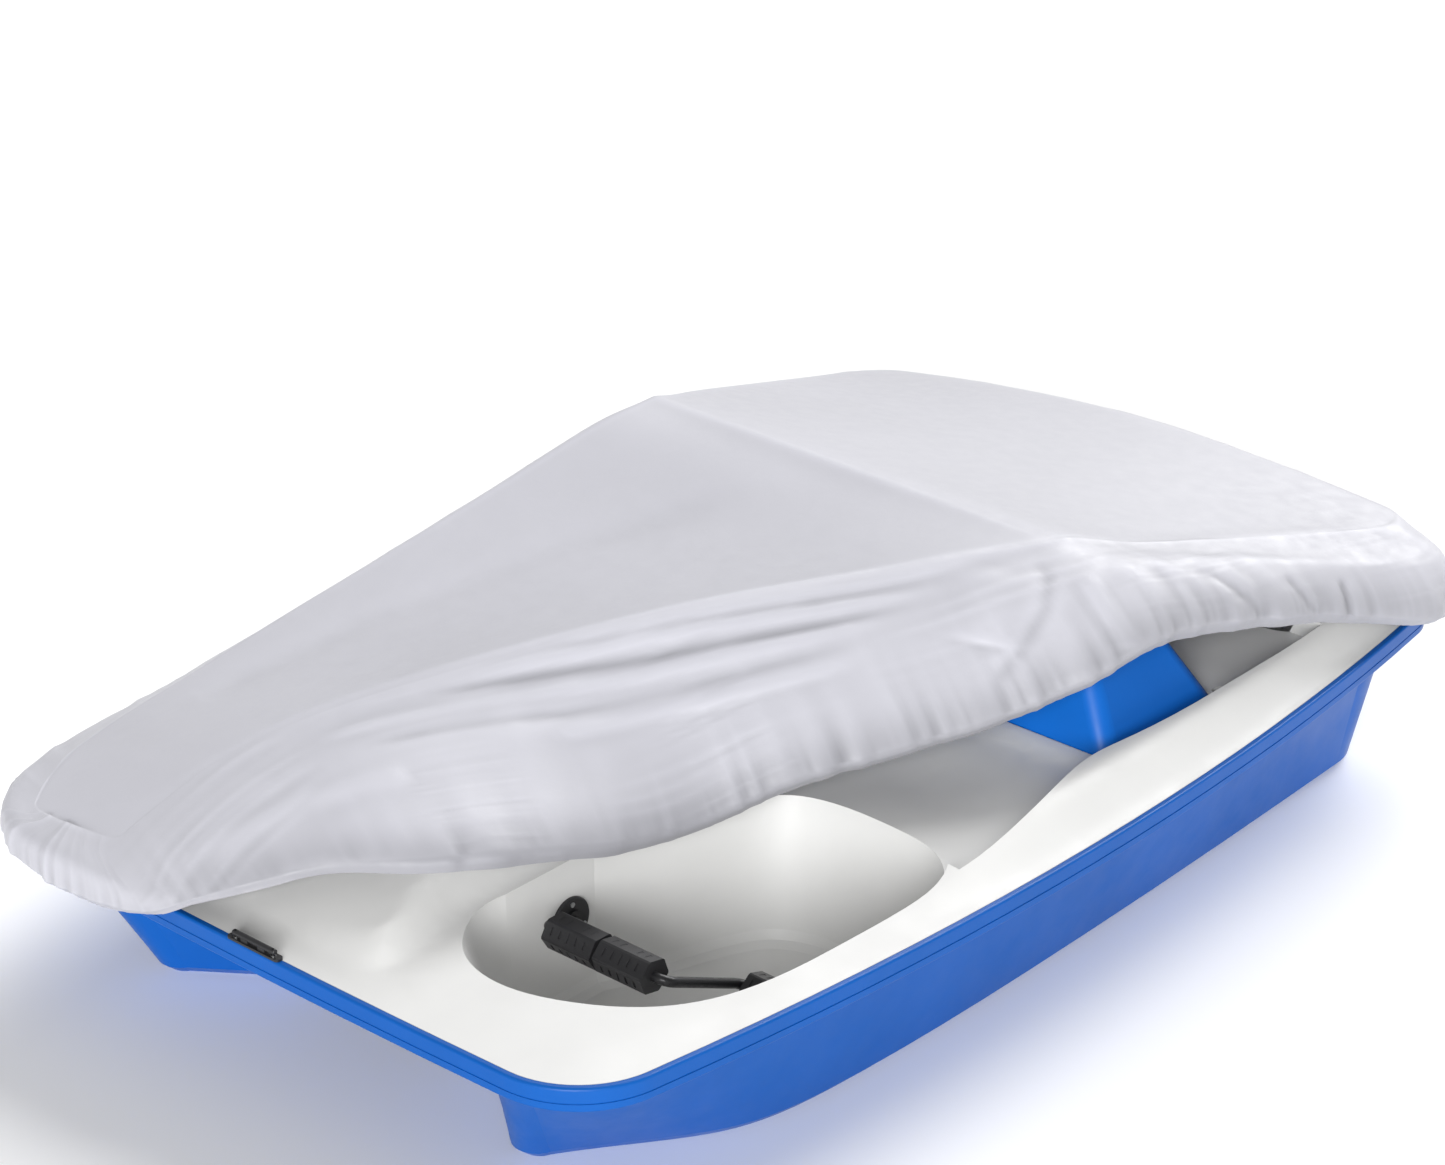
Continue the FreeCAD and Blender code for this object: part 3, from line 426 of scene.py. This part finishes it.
class Cover:
    """The cloth as one grid: the top sheet, then rows that go round the skirt."""

    def __init__(self):
        top = top_sheet()
        ring = edge_ring()
        crest = np.array([top[i, j] for i, j in ring])
        hem = hem_ring()
        skirt, self.deep, self.t = skirt_sheet(crest, hem)
        self.round = len(ring)
        self.points = np.vstack([top.reshape(-1, 3), skirt.reshape(-1, 3)])
        self.first = ALONG * ACROSS
        ring_ids = np.array([i * ACROSS + j for i, j in ring])
        below = self.first + np.arange(DOWN * self.round).reshape(DOWN, self.round)
        self.rows = np.vstack([ring_ids[None], below])
        self.faces = self.make_faces()

    def make_faces(self):
        top = np.arange(self.first).reshape(ALONG, ACROSS)
        flat = np.stack([top[:-1, :-1], top[1:, :-1], top[1:, 1:], top[:-1, 1:]], -1).reshape(-1, 4)
        turned = np.roll(self.rows, -1, axis=1)
        hung = np.stack([self.rows[:-1], self.rows[1:], turned[1:], turned[:-1]], -1).reshape(-1, 4)
        return np.vstack([flat, hung])

    def normals(self):
        p = self.points
        a, b, c, d = (p[self.faces[:, k]] for k in range(4))
        across = np.cross(c - a, d - b)
        total = np.zeros_like(p)
        for k in range(4):
            np.add.at(total, self.faces[:, k], across)
        total /= np.maximum(np.linalg.norm(total, axis=1, keepdims=True), 1e-12)
        return total * np.sign(total[self.first // 2, 2])

    def evened(self, values):
        """The mean of each point's neighbours."""
        edges = np.vstack([self.faces[:, [k, (k + 1) % 4]] for k in range(4)])
        start = edges[:, 0]
        end = edges[:, 1]
        size = len(self.points)
        count = np.bincount(edges.ravel(), minlength=size).astype(float)
        total = np.bincount(start, values[end], size) + np.bincount(end, values[start], size)
        return total / count

    def soften(self, weight, rounds):
        """Even out the cloth where weight is above 0; the hem stays."""
        weight = weight.copy()
        weight[self.rows[-1]] = 0
        for _ in range(rounds):
            mean = np.stack([self.evened(self.points[:, k]) for k in range(3)], 1)
            self.points += (mean - self.points) * weight[:, None]

    def hollow(self):
        """How far each point lies below its surroundings, in metres; 0 for the last rows at the hem."""
        mean = self.points
        for _ in range(6):
            mean = np.stack([self.evened(mean[:, k]) for k in range(3)], 1)
        depth = np.einsum("ij,ij->i", mean - self.points, self.normals())
        depth[self.rows[-6:]] = 0
        return depth


def near_line(points, line):
    """Distance of each point from a broken line, and how far along the line it lies, 0 to 1."""
    line = np.array(line, float)
    runs = np.linalg.norm(np.diff(line, axis=0), axis=1)
    best = np.full(len(points), 9.0)
    along = np.zeros(len(points))
    before = 0.0
    for a, b, run in zip(line, line[1:], runs):
        t = np.clip((points - a) @ (b - a) / run ** 2, 0, 1)
        away = np.linalg.norm(points - a - t[:, None] * (b - a), axis=1)
        closer = away < best
        best = np.where(closer, away, best)
        along = np.where(closer, (before + t * run) / runs.sum(), along)
        before += run
    return best, along


def wander(rng, length, spacing):
    """A smooth random line of the given length in metres, from 0 to 1, that closes on itself."""
    count = max(4, int(length / spacing))
    knots = rng.random(count)
    knots = np.append(knots, knots[0])

    def value(s):
        place = (s / length % 1.0) * count
        whole = np.floor(place).astype(int)
        part = place - whole
        part = part * part * (3 - 2 * part)
        return knots[whole] * (1 - part) + knots[(whole + 1) % (count + 1)] * part
    return value


# Folds in the port side: a line of (place along, share of the way down), half width, height.
# Place along is 0 at the bow end of the port hem and 1 at its stern end.
PORT_FOLDS = [
    ([(0.617, 0.10), (0.614, 0.30), (0.600, 0.51), (0.577, 0.68), (0.550, 0.80)], 0.014, -0.003),
    ([(0.590, 0.10), (0.575, 0.35), (0.555, 0.60)], 0.055, 0.005),
    ([(0.597, 0.06), (0.497, 0.08), (0.399, 0.06), (0.312, 0.02)], 0.012, 0.004),
    ([(0.560, 0.20), (0.470, 0.19), (0.362, 0.12), (0.255, 0.08)], 0.014, 0.006),
    ([(0.535, 0.27), (0.446, 0.26), (0.340, 0.20), (0.220, 0.13)], 0.012, -0.004),
    ([(0.513, 0.32), (0.423, 0.32), (0.319, 0.28), (0.151, 0.20)], 0.014, 0.006),
    ([(0.500, 0.42), (0.400, 0.42), (0.290, 0.38), (0.170, 0.32)], 0.013, -0.004),
    ([(0.483, 0.51), (0.386, 0.51), (0.279, 0.47)], 0.014, 0.005),
    ([(0.655, 0.30), (0.668, 0.62), (0.681, 0.99)], 0.024, 0.004),
    ([(0.676, 0.36), (0.705, 0.62), (0.728, 0.99)], 0.020, 0.004),
    ([(0.715, 0.50), (0.735, 0.75), (0.755, 0.99)], 0.012, -0.004),
    ([(0.735, 0.46), (0.752, 0.74), (0.772, 0.99)], 0.016, 0.003),
    ([(0.788, 0.60), (0.799, 0.87), (0.812, 0.99)], 0.011, -0.004),
    ([(0.846, 0.60), (0.842, 0.88), (0.846, 0.99)], 0.011, -0.005),
    ([(0.635, 0.34), (0.630, 0.61), (0.634, 0.95)], 0.018, 0.006),
    ([(0.020, 0.66), (0.067, 0.64), (0.114, 0.59), (0.180, 0.56)], 0.028, 0.005),
    ([(0.690, 0.08), (0.812, 0.10), (0.956, 0.14)], 0.030, 0.004),
    ([(0.700, 0.24), (0.812, 0.32), (0.940, 0.36)], 0.024, -0.003),
]


def wrinkle(cover):
    """Gathers at the elastic hem, drag lines down the port side, a few broad folds and the painted shade in
    the colour.
    """
    rng = np.random.default_rng(7)
    hem = cover.points[cover.rows[-1]]
    step = np.linalg.norm(np.roll(hem, -1, axis=0) - hem, axis=1)
    s = np.concatenate([[0], np.cumsum(step)[:-1]])
    length = step.sum()
    up = (1 - cover.t)[:, None] * cover.deep[None]
    lean = 0.35 * (wander(rng, length, 0.30)(s) - 0.5)
    where = s[None] + up * lean[None]
    # Spacing, height and reach up from the hem of each size of gather.
    gathers = [(0.018, 0.0042, 0.022), (0.034, 0.0080, 0.048), (0.075, 0.0095, 0.095), (0.170, 0.0060, 0.22)]
    pull = 0.35 + 1.0 * wander(rng, length, 0.22)(s)
    height = np.zeros_like(up)
    for spacing, tall, reach in gathers:
        ridge = np.abs(2 * wander(rng, length, spacing)(where) - 1)
        height += tall * (1 - ridge) * np.exp(-(up / reach)) * np.minimum(1, up / 0.012 + 0.35)
    height *= pull[None]
    height += drag_lines(rng, cover, s, up)
    push = np.zeros(len(cover.points))
    push[cover.rows[1:]] = height
    for line, width, tall in cover_folds(cover):
        away, along = near_line(cover.points, line)
        fade = smooth(along / 0.25) * smooth((1 - along) / 0.12 + 0.25)
        push += tall * np.exp(-(away / width) ** 2) * fade
    cover.points += cover.normals() * push[:, None]
    # Painted shade: darker colour in the fold hollows, lighter on fold tops, and a darker band at the hem.
    painted_hem_shade = np.exp(-(up / 0.060) ** 2) * round_the_ring(0.06, 0.12, 0.34, 0.34, 0.12)[None]
    cover.tone = np.clip(1.02 - 110 * cover.hollow(), 0.62, 1.10)
    cover.tone[cover.rows[1:]] *= 1 - painted_hem_shade


def drag_lines(rng, cover, s, up):
    """Thin creases that run along the crest on the port side, where the lifted edge pulls the cloth."""
    below = cover.t[:, None] * cover.deep[None]
    drift = 0.030 * wander(rng, s[-1], 0.35)(s) + 0.12 * (s - s[0])
    height = np.zeros_like(up)
    for spacing, tall in ((0.014, 0.0010), (0.027, 0.0018), (0.055, 0.0026)):
        lines = wander(rng, 3.0, spacing)(below + drift[None])
        broken = wander(rng, s[-1], 0.16)(s)[None] * wander(rng, 2.0, 0.11)(below + 0.3 * s[None])
        height += tall * (1 - np.abs(2 * lines - 1)) * smooth((broken - 0.15) / 0.35)
    on_port = round_the_ring(0.0, 0.2, 1.0, 0.8, 0.2)
    return height * on_port[None] * smooth(below / 0.04) * smooth(up / 0.03)


def port_point(cover, along, down):
    """Place on the port side of the skirt."""
    column = (ALONG + ACROSS - 2) + along * (ALONG - 1)
    row = int(round(np.interp(down, np.append(0, cover.t), np.arange(DOWN + 1))))
    return cover.points[cover.rows[row, int(round(column))]]


def cover_folds(cover):
    folds = []
    for line, width, tall in PORT_FOLDS:
        folds.append(([port_point(cover, along, down) for along, down in line], width, tall))
    valley = [(-0.16, -0.10, 0.628), (0.15, -0.30, 0.578), (0.50, -0.46, 0.500), (0.80, -0.56, 0.420)]
    folds.append((valley, 0.050, -0.010))
    return folds


def keep_off_rim(cover):
    """Push cloth beside the rim out until it clears it."""
    p = cover.points
    low = (p[:, 2] < WRAP_Z) & ((p[:, 1] < 0) | (p[:, 0] < -1.0))
    for n in np.nonzero(low)[0]:
        x, y, _ = p[n]
        radius = corner_radius(x)
        centre_x = CORNER_END - radius
        centre_y = 0.546 if x > 0 else 0.610
        past_x = abs(x) - centre_x
        past_y = abs(y) - centre_y
        if past_x > 0 and past_y > 0:
            away = math.hypot(past_x, past_y)
            grow = max(1.0, (radius + 0.007) / away)
            p[n, 0] = math.copysign(centre_x + past_x * grow, x)
            p[n, 1] = math.copysign(centre_y + past_y * grow, y)
        elif past_x > 0:
            p[n, 0] = math.copysign(max(abs(x), 1.194 - 0.028 * y * y), x)
        elif abs(y) > 0.6:
            p[n, 1] = math.copysign(max(abs(y), rim_outside(x) - 0.001), y)


def make_cover():
    cover = Cover()
    p = cover.points
    ridge = np.exp(-((p[:, 0] - RIDGE_X) / 0.05) ** 2) * smooth((0.50 - p[:, 1]) / 0.15)
    crest_away, _ = near_line(p, NEAR_FORE[3:])
    soft = 0.75 * np.exp(-(crest_away / 0.16) ** 2) * smooth((p[:, 0] - 0.1) / 0.6)
    stern = smooth((-p[:, 0] - 1.00) / 0.10)
    bow = smooth((p[:, 0] - 0.98) / 0.12)
    cover.soften(np.maximum.reduce([soft, 0.9 * stern, 0.6 * bow, 0.12 * (1 - ridge)]), 40)
    cover.soften(0.95 * bow, 110)
    wrinkle(cover)
    keep_off_rim(cover)
    mesh = bpy.data.meshes.new("cover")
    mesh.from_pydata(cover.points.tolist(), [], cover.faces.tolist())
    mesh.validate()
    mesh.polygons.foreach_set("use_smooth", [True] * len(mesh.polygons))
    # The painted shade for the cloth material, one value per point.
    mesh.attributes.new("tone", "FLOAT", "POINT").data.foreach_set("value", cover.tone)
    made = bpy.data.objects.new("cover_cloth", mesh)
    bpy.context.collection.objects.link(made)
    made.data.materials.append(coated_cloth())
    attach(made, "cover")
    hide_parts("cover_fabric")
    return made


def main():
    dress_nodes()
    cover = make_cover()
    make_studio()
    make_camera()


main()
